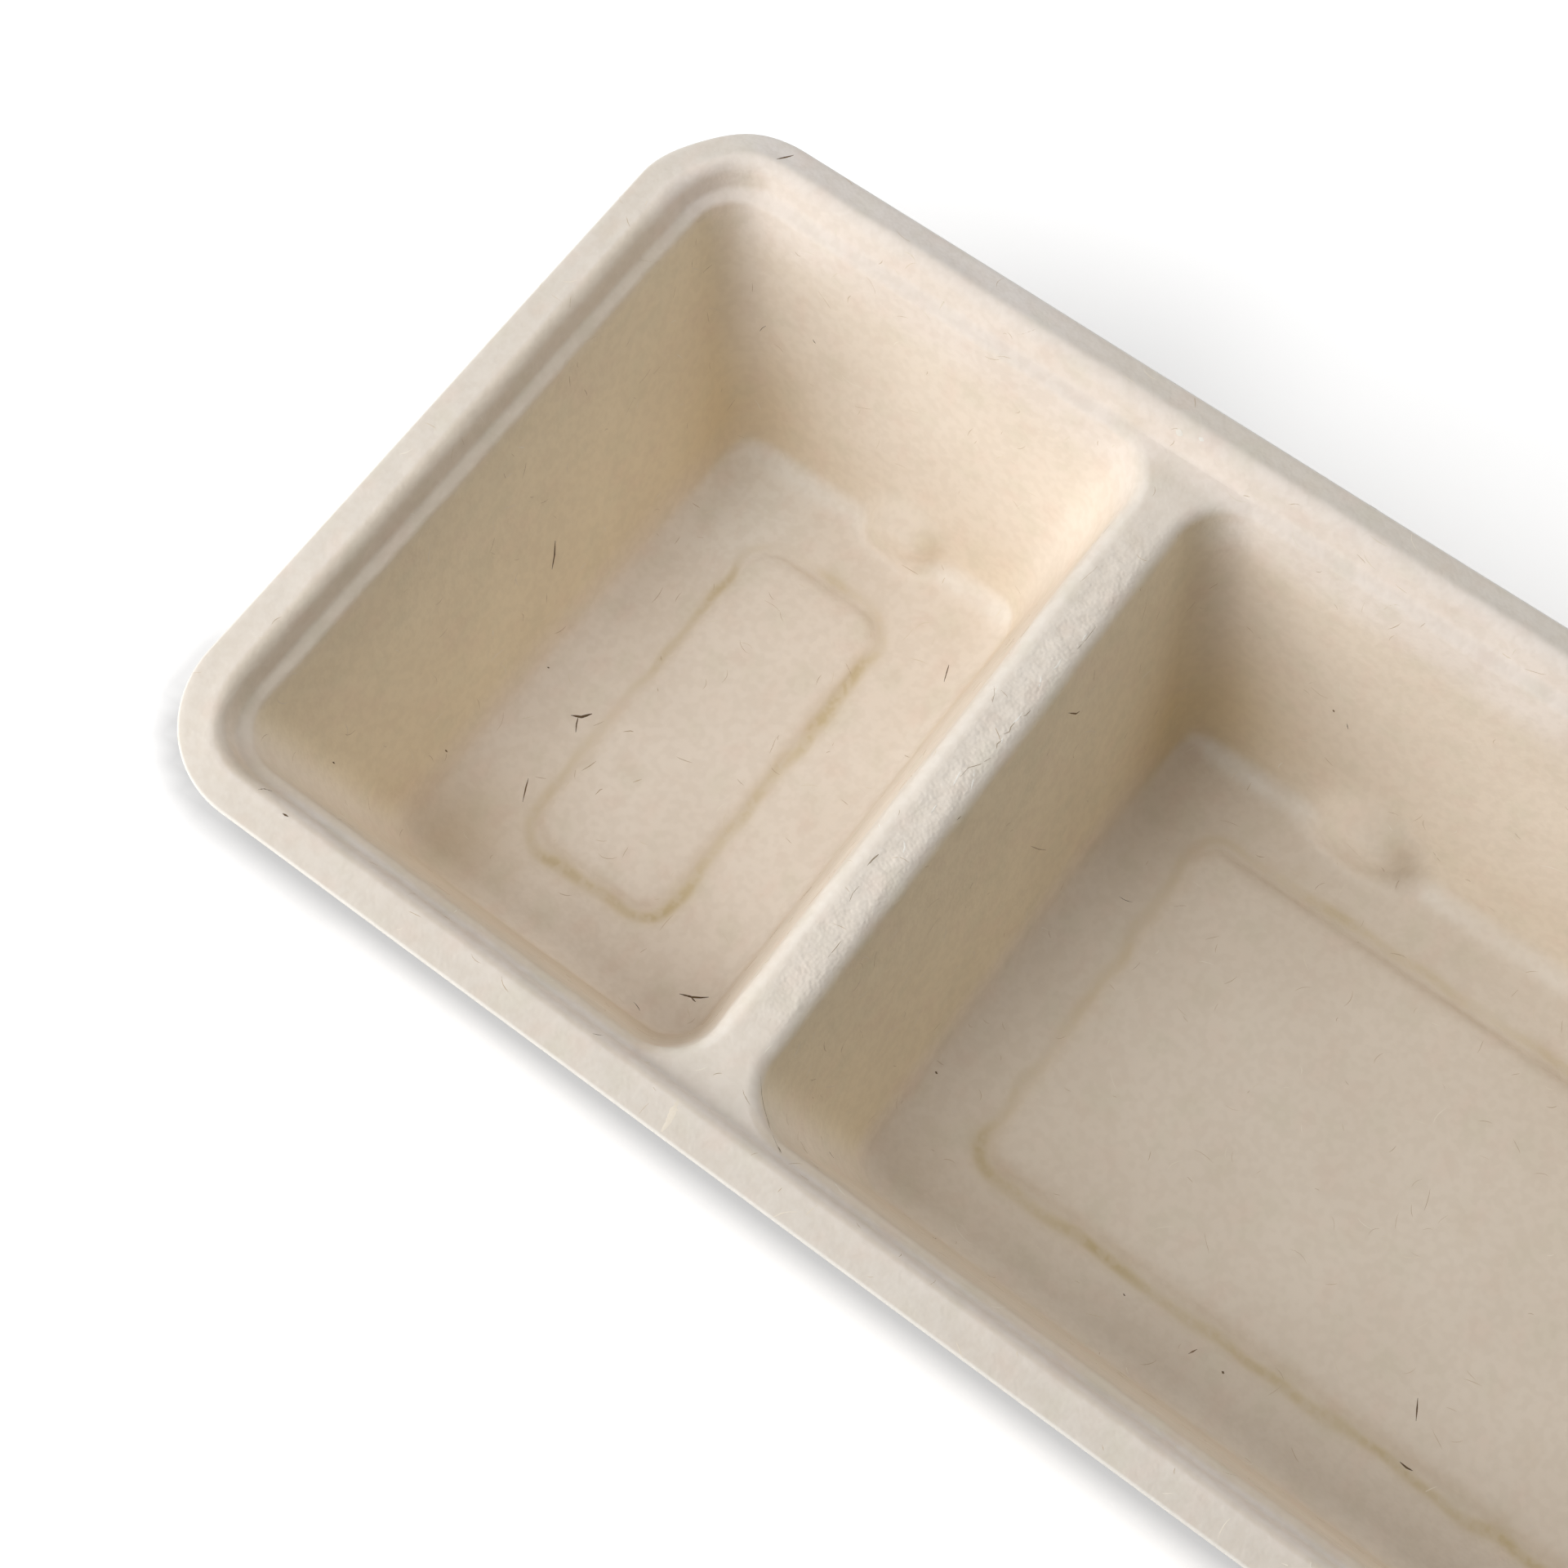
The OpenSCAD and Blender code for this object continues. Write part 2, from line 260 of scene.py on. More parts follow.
# Where the walls would meet the floor without a fillet
SMALL_FOOT_X = [RIM_BOX[0] + RIM_FOOT, SMALL_BOWL[1] - DIVIDER_FOOT]
LARGE_FOOT_X = [LARGE_BOWL[0] + DIVIDER_FOOT, RIM_BOX[1] - RIM_FOOT]
FAR_FOOT_Y = RIM_BOX[3] - RIM_FOOT
SMALL_PANEL = [-PANEL_END, SMALL_PANEL_STOP, -PANEL_SIDE, PANEL_SIDE, SMALL_PANEL_R, SMALL_PANEL_R]
LARGE_PANEL = [LARGE_PANEL_START, PANEL_END, -PANEL_SIDE, PANEL_SIDE, LARGE_PANEL_R, LARGE_PANEL_R]
SMALL_LUGS = [(SMALL_FOOT_X[0] + LUG_FROM_END, FAR_FOOT_Y)]
LARGE_LUGS = [(LARGE_FOOT_X[0] + LUG_FROM_END, FAR_FOOT_Y), (LARGE_FOOT_X[1] - LUG_FROM_END, FAR_FOOT_Y)]
SMALL_COMPARTMENT = (SMALL_BOWL, SMALL_PANEL, SMALL_LUGS, SMALL_LUG_SCALE)
LARGE_COMPARTMENT = (LARGE_BOWL, LARGE_PANEL, LARGE_LUGS, 1.0)


def rim_face(offset, steps):
    """One face of the rim from near the trimmed edge to the ledge, as [distance inward, height]."""
    band_end = arc_section(CREST_CENTRE, CREST_R - offset, -BAND_SLOPE, -BAND_SLOPE, 0)[0]
    edge = np.array([0.0, EDGE_Z - offset / math.cos(BAND_SLOPE)])
    t = np.linspace(0.1, 0.9, steps)[:, None]
    band = edge * (1 - t) + band_end * t
    crest = arc_section(CREST_CENTRE, CREST_R - offset, -BAND_SLOPE, STEP_ANGLE, steps + 2)
    foot = arc_section(STEP_FOOT_CENTRE, -(STEP_FOOT_R + offset), STEP_ANGLE, SEAT_SLOPE, steps)
    t = np.linspace(0, 1, steps)[1:-1, None]
    face = crest[-1] * (1 - t) + foot[0] * t
    return np.concatenate([band, crest, face, foot])


def edge_section():
    """The cut edge of the sheet, with its corners rubbed round, from underside to top."""
    bottom = EDGE_Z - SHEET / math.cos(BAND_SLOPE)
    return np.array([
        [0.16, bottom + 0.03], [0.04, bottom + 0.13], [0.0, bottom + 0.3],
        [0.0, EDGE_Z - 0.3], [0.04, EDGE_Z - 0.12], [0.16, EDGE_Z + 0.01],
    ])


def smoothstep(t):
    """0 below 0, 1 above 1, with a soft rise between."""
    t = np.clip(t, 0, 1)
    return t * t * (3 - 2 * t)


def bell(value, centre, width):
    """1 at the centre and falling off on both sides."""
    return np.exp(-(((value - centre) / width) ** 2))


def within(points, loop):
    """Which points lie inside a closed outline, by counting the sides that each one's ray crosses."""
    crossings = np.zeros(len(points), int)
    for a, b in zip(loop, np.roll(loop, -1, axis=0)):
        spans = (a[1] > points[:, 1]) != (b[1] > points[:, 1])
        rise = b[1] - a[1] if b[1] != a[1] else 1.0
        crossings += spans & (points[:, 0] < a[0] + (points[:, 1] - a[1]) * (b[0] - a[0]) / rise)
    return crossings % 2 == 1


# Mesh


class Shell:
    """Vertices and faces of one mesh, collected from grids of rings and from filled outlines."""

    def __init__(self):
        self.points = []
        self.faces = []
        self.count = 0

    def add(self, points):
        index = np.arange(self.count, self.count + len(points))
        self.points.append(np.asarray(points, float))
        self.count += len(points)
        return index

    def grid(self, rings, flip=False):
        """Quads between rings that follow each other; returns the first and last ring's indices."""
        rows = np.array([self.add(r) for r in rings])
        a = rows[:-1]
        b = np.roll(rows, -1, axis=1)[:-1]
        c = np.roll(rows, -1, axis=1)[1:]
        d = rows[1:]
        quads = np.stack([a, b, c, d] if not flip else [a, d, c, b], -1).reshape(-1, 4)
        self.faces.extend(quads.tolist())
        return rows[0], rows[-1]

    def fill(self, outer, holes, inner, flip=False):
        """Triangles between an outer loop, any holes and loose inner points, seen from above."""
        every = np.concatenate(self.points)
        loops = [outer] + holes
        index = np.concatenate(loops + ([self.add(inner)] if len(inner) else []))
        every = np.concatenate([every] + ([inner] if len(inner) else []))
        edges = []
        start = 0
        for loop in loops:
            n = len(loop)
            edges += [(start + i, start + (i + 1) % n) for i in range(n)]
            start += n
        flat = [Vector(every[i][:2]) for i in index]
        found = delaunay_2d_cdt(flat, edges, [], 1, 1e-7)
        origin = [o[0] for o in found[3]]
        triangles = np.array([[index[origin[v]] for v in face] for face in found[2]])
        middles = every[triangles][:, :, :2].mean(1)
        for hole in holes:
            outside = ~within(middles, every[hole][:, :2])
            triangles = triangles[outside]
            middles = middles[outside]
        self.faces.extend((triangles[:, ::-1] if flip else triangles).tolist())


def bowl_section(offset, steps):
    """Rows down a compartment's wall, as [distance in, height]: on the rim's sides, and at the divider."""
    seat_steps, arc_steps = steps
    start = SEAT_START + SEAT_GAP * (SEAT_END - SEAT_START)
    t = np.linspace(0, 1, seat_steps + 1)[:-1, None]
    seat = start * (1 - t) + SEAT_END * t - offset * SEAT_NORMAL
    lip = arc_section(SEAT_LIP_CENTRE, SEAT_LIP_R - offset, SEAT_SLOPE, WALL_ANGLE, arc_steps)
    rim_top = np.concatenate([seat, lip])
    divider_top = arc_section((0, LEDGE_Z - LIP_R), LIP_R - offset, 0, WALL_ANGLE, seat_steps + arc_steps)
    rim_foot = arc_section(RIM_FOOT_CENTRE, -(FOOT_FILLET_R + offset), WALL_ANGLE, 0, arc_steps + 2)
    divider_foot = arc_section(DIVIDER_FOOT_CENTRE, -(FOOT_FILLET_R + offset), WALL_ANGLE, 0, arc_steps + 2)
    return (rim_top, divider_top), (rim_foot, divider_foot)


def wall_rings(bowl, offset, counts, steps):
    """Rings of one compartment from its mouth's edge down to the end of the foot fillet."""
    x0, x1, side = bowl
    edge = bowl[side]
    wall_steps = steps[0]
    tops, feet = bowl_section(offset, steps[1:])

    def bowl_ring(rim, divider, rim_r, divider_r):
        box = [x0 + rim[0], x1 - divider[0], RIM_BOX[2] + rim[0], RIM_BOX[3] - rim[0], rim_r, divider_r]
        if side == 0:
            box = [x0 + divider[0], x1 - rim[0], RIM_BOX[2] + rim[0], RIM_BOX[3] - rim[0], divider_r, rim_r]
        points = outline(box, counts)
        reach = np.abs(points[:, 0] - edge) - divider[0]
        weight = smoothstep(reach / divider_r)
        return np.column_stack([points, rim[1] * weight + divider[1] * (1 - weight)])

    rings = []
    for rim, divider in zip(*tops):
        # The corners at the divider tighten down its lip
        divider_r = DIVIDER_CORNER_R - 0.5 * (rim[0] - tops[0][0][0] + divider[0])
        rings.append(bowl_ring(rim, divider, RIM_CORNER_R - rim[0], divider_r))
    last = rings[-1]
    below = []
    for rim, divider in zip(*feet):
        r = FLOOR_CORNER_R + RIM_FOOT_START[0] - rim[0]
        below.append(bowl_ring(rim, divider, r, r))
    for t in np.linspace(0, 1, wall_steps + 1)[1:-1]:
        rings.append(last * (1 - t) + below[0] * t)
    return rings + below


# Where the rings lie between the foot fillet and the panel's border
TOP_FLOOR_SHARES = (0.07, 0.14, 0.22, 0.31, 0.41, 0.52, 0.64, 0.77, 0.89)
UNDER_FLOOR_SHARES = (0.22, 0.42, 0.6, 0.76, 0.9)


def floor_rings(start, panel, offset, counts, insets):
    """Rings from the foot fillet across the floor ring and up the panel's soft border."""
    target = ring(inset_box(panel, insets[0]), FLOOR_Z - offset, counts)
    shares = TOP_FLOOR_SHARES if offset == 0 else UNDER_FLOOR_SHARES
    rings = [start * (1 - t) + target * t for t in shares]
    for d in insets:
        z = FLOOR_Z - offset + PANEL_RISE * smoothstep((d + 0.2) / PANEL_RAMP)
        rings.append(ring(inset_box(panel, d), z, counts))
    return rings


def push_lugs(rings, lugs, scale, offset):
    """Pushes the wall's foot out over each lug, then softens the meeting lines."""
    grid = np.array(rings)
    size = LUG_SIZE * scale - offset
    centres = [np.array([x, y, FLOOR_Z]) for x, y in lugs]
    for centre in centres:
        near = np.linalg.norm((grid - centre) / (size * 1.6), axis=2) < 1
        base = grid[near]
        t = np.linspace(0, 12, 97)
        path = base[:, None, :] + LUG_PUSH * t[None, :, None]
        inside = (np.abs((path - centre) / size) ** LUG_POWER).sum(2) < 1
        depth = (inside * t[None, :]).max(1)
        grid[near] = base + LUG_PUSH * depth[:, None]
    for centre in centres:
        reach = np.linalg.norm((grid - centre) / (size * 1.9), axis=2)
        weight = (0.5 * smoothstep((1.0 - reach) / 0.25))[1:-1, :, None]
        for _ in range(LUG_SOFTENING):
            sides = np.roll(grid, 1, axis=1)[1:-1] + np.roll(grid, -1, axis=1)[1:-1]
            mean = (grid[:-2] + grid[2:] + sides) / 4
            grid[1:-1] += weight * (mean - grid[1:-1])
    return list(grid)


def plateau_points(box, z, spacing, seed):
    """Loose points, slightly scattered, well inside a rounded rectangle."""
    rng = np.random.default_rng(seed)
    x = np.arange(box[0] + 0.7 * spacing, box[1] - 0.5 * spacing, spacing)
    y = np.arange(box[2] + 0.7 * spacing, box[3] - 0.5 * spacing, spacing)
    grid = np.array([(a, b) for a in x for b in y])
    grid += rng.uniform(-0.22, 0.22, grid.shape) * spacing
    cx = np.clip(grid[:, 0], box[0] + box[4], box[1] - box[5])
    cy = np.clip(grid[:, 1], box[2] + box[4], box[3] - box[4])
    gap = np.hypot(grid[:, 0] - cx, grid[:, 1] - cy)
    keep = gap < box[4] - 0.45 * spacing
    grid = grid[keep]
    return np.column_stack([grid, np.full(len(grid), z)])


def add_bowl(shell, compartment, offset, counts, steps, insets, spacing):
    """One face of a compartment: the top face at offset 0, the underside at the sheet's thickness."""
    bowl, panel, lugs, lug_scale = compartment
    flip = offset > 0
    rings = wall_rings(bowl, offset, counts, steps)
    rings += floor_rings(rings[-1], panel, offset, counts, insets)
    rings = push_lugs(rings, lugs, lug_scale, offset)
    first, last = shell.grid(rings, flip)
    top = inset_box(panel, insets[-1])
    z = rings[-1][0][2]
    shell.fill(last, [], plateau_points(top, z, spacing, len(last)), flip)
    return first


def divider_points(z, spacing, seed):
    """Loose points on the flat top between the two mouths, clear of both outlines."""
    rng = np.random.default_rng(seed)
    x0 = SMALL_BOWL[1]
    x1 = LARGE_BOWL[0]
    rows = max(1, round((x1 - x0) / spacing) - 1)
    points = []
    for y in np.arange(-50, 50.1, spacing):
        for i in range(rows):
            x = x0 + (i + 1) * (x1 - x0) / (rows + 1)
            dx, dy = rng.uniform(-0.15, 0.15, 2) * spacing
            points.append((x + dx, y + dy, z))
    return np.array(points)


def build_shell():
    """The whole sheet. Each count is steps along x, along y and per corner; steps go down a wall."""
    shell = Shell()
    rim_counts = (156, 68, 20)
    under = rim_face(SHEET, 3)[::-1]
    section = np.concatenate([under, edge_section(), rim_face(0, 6)])
    rings = [ring(inset_box(RIM_BOX, p[0]), p[1], rim_counts) for p in section]
    under_loop, top_loop = shell.grid(rings)

    steps = (30, 3, 6)
    insets = [-0.8, -0.4, 0.0, 0.4, 0.8, 1.2, 1.7, 2.2, 2.8, 3.4]
    small = add_bowl(shell, SMALL_COMPARTMENT, 0, (52, 76, 14), steps, insets, 1.5)
    large = add_bowl(shell, LARGE_COMPARTMENT, 0, (124, 72, 14), steps, insets, 1.8)
    shell.fill(top_loop, [small, large], divider_points(LEDGE_Z, 0.8, 5))

    steps = (16, 2, 3)
    insets = [-0.4, 0.4, 1.2, 2.2, 3.4]
    small = add_bowl(shell, SMALL_COMPARTMENT, SHEET, (30, 40, 9), steps, insets, 3.0)
    large = add_bowl(shell, LARGE_COMPARTMENT, SHEET, (70, 40, 9), steps, insets, 3.5)
    shell.fill(under_loop, [small, large], divider_points(LEDGE_Z - SHEET, 1.6, 6), True)
    return np.concatenate(shell.points), shell.faces


def crease_distance(points, box):
    """Signed distance in plan from a panel's crease, negative on the panel."""
    r = box[4]
    cx = (box[0] + box[1]) / 2
    cy = (box[2] + box[3]) / 2
    qx = np.abs(points[:, 0] - cx) - (box[1] - box[0]) / 2 + r
    qy = np.abs(points[:, 1] - cy) - (box[3] - box[2]) / 2 + r
    outside = np.hypot(np.maximum(qx, 0), np.maximum(qy, 0))
    return outside + np.minimum(np.maximum(qx, qy), 0) - r


def waves(points, wavelength, seed, count=9):
    """Smooth noise about -1 to 1: plane waves in seeded directions."""
    rng = np.random.default_rng(seed)
    total = np.zeros(len(points))
    for _ in range(count):
        direction = rng.normal(size=3)
        direction *= 2 * math.pi / (np.linalg.norm(direction) * wavelength * rng.uniform(0.7, 1.4))
        total += np.sin(points @ direction + rng.uniform(0, 2 * math.pi))
    return total / math.sqrt(count)


def bend(points):
    """The slow departures from true of a pressed sheet, the same for both of its faces."""
    # The far corner of the small end is a little flattened
    centre = np.array([RIM_BOX[0] + RIM_CORNER_R, RIM_BOX[3] - RIM_CORNER_R])
    out = points[:, :2] - centre
    reach = np.hypot(out[:, 0], out[:, 1])
    angle = np.degrees(np.arctan2(out[:, 1], out[:, 0]))
    across = smoothstep(1 - np.abs(angle - FLAT_CORNER_ANGLE) / FLAT_CORNER_SPREAD)
    press = FLAT_CORNER * across * smoothstep((reach - 3) / (RIM_CORNER_R - 3))
    points = points.copy()
    points[:, :2] -= out / np.maximum(reach, 1e-6)[:, None] * press[:, None]
    # The band is a little wider along the small end, most at its near corner
    edge = -crease_distance(points, RIM_BOX)
    shift = END_BAND_WIDENING * (1 + 0.8 * bell(points[:, 1], -50, 9))
    shift *= smoothstep((-127.5 - points[:, 0]) / 4)
    shift *= smoothstep((edge - 0.6) / 2.6) * smoothstep((10.5 - edge) / 3)
    points[:, 0] += shift
    # Slow waves, none at the floor that the tray stands on and none outward at the rim's own edge
    inner = smoothstep((edge - 1) / 12) * smoothstep(points[:, 2] / 14)
    points[:, 0] += WAVE * waves(points, 42, 11) * inner
    points[:, 1] += WAVE * waves(points, 42, 12) * inner
    level = smoothstep(points[:, 2] / 30)
    points[:, 2] -= WAVE * (0.9 + 0.6 * waves(points, 60, 13)).clip(0, 2) * level
    return points


# On the long sides the stain lies this far out from the foot of the panel's border, in mm
STAIN_OFFSET = 0.8


def stain_strength(points):
    """How strongly each border is stained: the small one most at the divider, the large one at its sides."""
    x = points[:, 0]
    y = points[:, 1]
    small = 0.26 + 0.22 * smoothstep((x + 104) / 22) + 0.08 * smoothstep((-y - 20) / 8)
    small *= 1 - 0.45 * smoothstep((y - 18) / 8)
    large = 0.18 + 0.28 * smoothstep((-y - 22) / 6) + 0.10 * smoothstep((y - 20) / 6)
    large += 0.12 * waves(points, 14, 41)
    small += 0.12 * waves(points, 12, 42)
    return np.where(x < SMALL_BOWL[1], small, large).clip(0.08, 1)


def lay_tints(tint, layers):
    """Mixes each layer's colour over the tint by the layer's weight, in turn."""
    for weight, colour in layers:
        tint += weight[:, None] * (np.array(colour) - tint)


def wall_tints(tint, points, normals, edge):
    """The band, step, divider and walls, each by the way it faces and how high it lies, much of it painted
    light and shade.
    """
    x, y, z = points.T
    spread = np.abs(normals[:, 0]) + np.abs(normals[:, 1]) + 1e-6
    steep = smoothstep((spread - 0.15) / 0.3)
    # Faces turned towards +x, away from the lamps, take painted shade below: a darker step, and walls that
    # are partly the pulp's warmer colour and partly painted warm shade
    end = smoothstep((normals[:, 0] / spread - 0.25) / 0.6)
    # Faces turned towards the near side, away from the lamps, take painted shade below
    near = smoothstep((normals[:, 1] / spread - 0.25) / 0.6) * steep
    small_side = x < SMALL_MOUTH_END
    large_side = x > LARGE_BOWL[0]
    step = smoothstep((edge - 3.0) / 2.0)
    inside = smoothstep((44.0 - z) / 3)
    middle = smoothstep((edge - 8.5) / 2) * smoothstep((z - 42.5) / 1.5)
    middle *= np.abs(x - SMALL_MOUTH_END) < 12
    walls = smoothstep((44.7 - z) / 1.6) * smoothstep((z - 3) / 7)
    # Painted shade: the large compartment's floor and far wall are darker, as the light falls off away from
    # the small end
    large_floor_shade = large_side * smoothstep((6 - z) / 3)
    small_floor = small_side * smoothstep((5 - z) / 3)
    large_wall_shade = large_side * smoothstep((y - 20) / 20)
    large_wall_shade *= smoothstep((z - 4) / 6) * smoothstep((44.5 - z) / 2)
    # Painted light: the far step, seat and top of the far wall are lighter, as they face the lamps
    far_step_light = step * (1 - middle) * smoothstep((y - 35) / 12) * smoothstep((z - 36) / 6)
    lay_tints(tint, [
        (step, STEP_COLOUR), (step * end * (1 - middle), END_STEP_SHADE_COLOUR), (inside, INSIDE_COLOUR),
        (middle, DIVIDER_COLOUR), (large_floor_shade, LARGE_FLOOR_SHADE_COLOUR), (small_floor, SMALL_FLOOR_COLOUR),
        (large_wall_shade, LARGE_WALL_SHADE_COLOUR), (far_step_light, FAR_STEP_LIGHT_COLOUR), (walls * end, END_WALL_TINT_AND_SHADE_COLOUR),
        (step * near * (1 - middle) * smoothstep((z - 2) / 4), NEAR_WALL_SHADE_COLOUR),
    ])
    # Darker and browner low on the far wall, partly the pulp's colour and partly painted shade, and painted
    # shade deep in its far corners
    foot = 0.3 * smoothstep((z - 1.6) / 2.4) * smoothstep((18 - z) / 14) * smoothstep(y / 25)
    for lug_x, lug_y in SMALL_LUGS + LARGE_LUGS:
        foot *= 1 - 0.9 * bell(x, lug_x, 8)
    far_corner_shade = bell(x, -38, 11) + 0.6 * bell(x, -118, 11)
    far_corner_shade *= smoothstep((y - 22) / 16) * smoothstep((z - 1.8) / 1.5) * smoothstep((30 - z) / 22)
    # Painted shade: the small floor darker in its near corner, where the near and end walls shade it
    near_corner_shade = 0.8 * bell(x, -113, 9) * bell(y, -36, 10) * smoothstep((9 - z) / 7)
    # Painted light: the small floor paler towards its far corner at the end
    pale = 0.8 * bell(x, -110, 9) * bell(y, 32, 12) * smoothstep((4 - z) / 2.5)
    # Painted highlights: paler along the fillet at the floor's far edge and on the sides of the lugs that
    # face the lamps
    fillet_highlight = bell(y, 39.2, 1.3) * smoothstep((4.5 - z) / 2) * smoothstep(0.9 + 0.5 * waves(points, 9, 54))
    fillet_highlight *= 1 - 0.55 * smoothstep(x / 8)
    lug_highlight = np.zeros(len(x))
    for lug_x, lug_y in SMALL_LUGS + LARGE_LUGS:
        lug_highlight += bell(x, lug_x - 5.5, 3) * bell(y, lug_y - 2, 3.5) * bell(z, 3, 3)
    lay_tints(tint, [
        (foot, FOOT_TINT_AND_SHADE_COLOUR), (0.6 * far_corner_shade, FAR_CORNER_SHADE_COLOUR), (near_corner_shade, NEAR_CORNER_SHADE_COLOUR), (pale, PALE_COLOUR),
        (0.55 * fillet_highlight, PALE_COLOUR), (0.5 * lug_highlight, LUG_HIGHLIGHT_COLOUR),
    ])
    # Painted light: the near step is lit back up over the painted shade of near-facing faces, which stays in
    # the small end's near corner
    near_step_light = 0.75 * near * smoothstep((x + 124) / 12) * smoothstep((-y - 40) / 8)
    near_step_light *= smoothstep((z - 44.6) / 0.6) * smoothstep((edge - 4.4) / 1.2)
    far_band = smoothstep((y - 54.5) / 2) * smoothstep((-60 - x) / 25) * smoothstep((4.5 - edge) / 1.5)
    # The small side of the divider, which faces the lamps: painted shade darkens its wall, and a painted
    # highlight whitens its lip
    facing = small_side * smoothstep((-normals[:, 0] / spread - 0.25) / 0.6)
    divider_wall_shade = 0.7 * facing * walls * smoothstep(y / 25) * smoothstep((42 - z) / 5)
    divider_lip_highlight = 0.9 * facing * smoothstep((z - 36) / 4) * steep
    lay_tints(tint, [
        (near_step_light, NEAR_STEP_LIGHT_COLOUR), (far_band, FAR_BAND_COLOUR),
        (divider_wall_shade, DIVIDER_WALL_SHADE_COLOUR), (divider_lip_highlight, DIVIDER_LIP_HIGHLIGHT_COLOUR),
    ])


def pulp_tints(points, normals, edge):
    """The sheet's colour with painted light and shade laid in: greyer on the band, lighter inside, yellower
    at the ends, with slow clouds.
    """
    tint = np.tile(np.array(RIM_COLOUR), (len(points), 1))
    wall_tints(tint, points, normals, edge)
    clouds = smoothstep(0.5 + 0.4 * waves(points, 18, 51)) * 0.11
    pink = smoothstep(0.8 * waves(points, 5.5, 52) - 0.25) * 0.16
    green = smoothstep(0.8 * waves(points, 5.5, 53) - 0.25) * 0.16
    lay_tints(tint, [(clouds, CLOUD_COLOUR), (pink, PINK_COLOUR), (green, GREEN_COLOUR)])
    return tint


def torn_strength(points):
    """Where the divider's top came away rough from the mould: mostly its large side, away from the ends."""
    x = points[:, 0] - LARGE_BOWL[0]
    along = smoothstep((points[:, 1] + 46) / 16) * smoothstep((48 - points[:, 1]) / 16)
    across = 0.35 + 0.65 * smoothstep((x + 5.0) / 3.0) * smoothstep((1.6 - x) / 1.0)
    across *= smoothstep((x + DIVIDER_TOP + 0.6) / 1.0) * smoothstep((1.8 - x) / 1.0)
    return along * across * smoothstep((points[:, 2] - 42.5) / 1.5)


def make_tray():
    """The visible tray, with what its material needs stored on the mesh: distances, strengths, and colour
    with painted light and shade.
    """
    points, faces = build_shell()
    distance = np.minimum(crease_distance(points, SMALL_PANEL), crease_distance(points, LARGE_PANEL))
    edge = -crease_distance(points, RIM_BOX)
    points = bend(points)
    mesh = bpy.data.meshes.new("tray_shell")
    mesh.from_pydata((points * MM).tolist(), [], faces)
    mesh.validate()
    mesh.update()
    normals = np.empty(len(points) * 3)
    mesh.vertex_normals.foreach_get("vector", normals)
    normals = normals.reshape(-1, 3)
    upward = normals[:, 2] > 0
    # Small unevenness of the top face, along the normals and mostly inward
    sink = UNEVENNESS * (waves(points, 6, 21) + 0.7 * waves(points, 3.4, 22) - 1.6)
    on_floor = (normals[:, 2] > 0.9) * (points[:, 2] > 0.5)
    share = (smoothstep((points[:, 2] - 1.2) / 2) * upward + on_floor).clip(0, 1)
    points += normals * (sink * smoothstep((edge - 0.6) / 2) * share)[:, None]
    # The torn top of the divider
    ragged = torn_strength(points) * upward
    tear = TEAR_DEPTH * (waves(points, 2.4, 23) + 0.8 * waves(points, 1.3, 24) - 1.3)
    points += normals * (tear * ragged)[:, None]
    mesh.vertices.foreach_set("co", (points * MM).ravel())
    mesh.update()
    mesh.shade_smooth()
    crease = distance + 0.35 * waves(points, 8, 43)
    crease -= STAIN_OFFSET * smoothstep((np.abs(points[:, 1]) - 20) / 8)
    layers = {"crease": crease, "edge": edge, "stain": stain_strength(points), "torn": torn_strength(points)}
    for name, values in layers.items():
        layer = mesh.attributes.new(name, "FLOAT", "POINT")
        layer.data.foreach_set("value", values.astype(np.float32))
    layer = mesh.attributes.new("tint", "FLOAT_COLOR", "POINT")
    layer.data.foreach_set("color", pulp_tints(points, normals, edge).astype(np.float32).ravel())
    tray = bpy.data.objects.new("tray_shell", mesh)
    bpy.context.scene.collection.objects.link(tray)
    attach(tray, "root")
    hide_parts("tray")
    return tray


# Fibres and flecks

# How deep a strand's two edges lie in the face, in mm
STRAND_SINK = 0.004


class Strands:
    """Many short flat strands laid on the tray's face, collected in one mesh."""

    def __init__(self, name, surface, seed):
        self.name = name
        self.surface = surface
        self.random = random.Random(seed)
        self.points = []
        self.faces = []
        self.tones = []

    def lay(self, path, width, lift=0.02):
        """One strand along a list of points in mm, tapered at both ends, crowned in the middle."""
        spots = []
        for p in path:
            found = self.surface.find_nearest(Vector(p))
            spots.append((found[0], found[1]))
        first = len(self.points)
        tone = self.random.random()
        last = len(spots) - 1
        for i, (spot, normal) in enumerate(spots):
            ahead = spots[min(i + 1, last)][0] - spots[max(i - 1, 0)][0]
            side = normal.cross(ahead)
            if side.length < 1e-9:
                side = normal.orthogonal()
            side.normalize()
            half = 0.5 * width * (1 - 0.75 * abs(2 * i / last - 1) ** 2)
            foot = spot - normal * STRAND_SINK
            for p in (foot - side * half, spot + normal * lift, foot + side * half):
                inside = [min(max(c, a / MM), b / MM) for c, a, b in zip(p, low, high)]
                self.points.append(Vector(inside))
            self.tones += [tone] * 3
        for i in range(last):
            a = first + 3 * i
            self.faces += [(a, a + 1, a + 4, a + 3), (a + 1, a + 2, a + 5, a + 4)]

    def build(self, material):
        mesh = bpy.data.meshes.new(self.name)
        mesh.from_pydata([p * MM for p in self.points], [], self.faces)
        mesh.update()
        mesh.shade_smooth()
        layer = mesh.attributes.new("tone", "FLOAT", "POINT")
        layer.data.foreach_set("value", np.array(self.tones, np.float32))
        piece = bpy.data.objects.new(self.name, mesh)
        piece.data.materials.append(material)
        bpy.context.scene.collection.objects.link(piece)
        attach(piece, "root")
        return piece


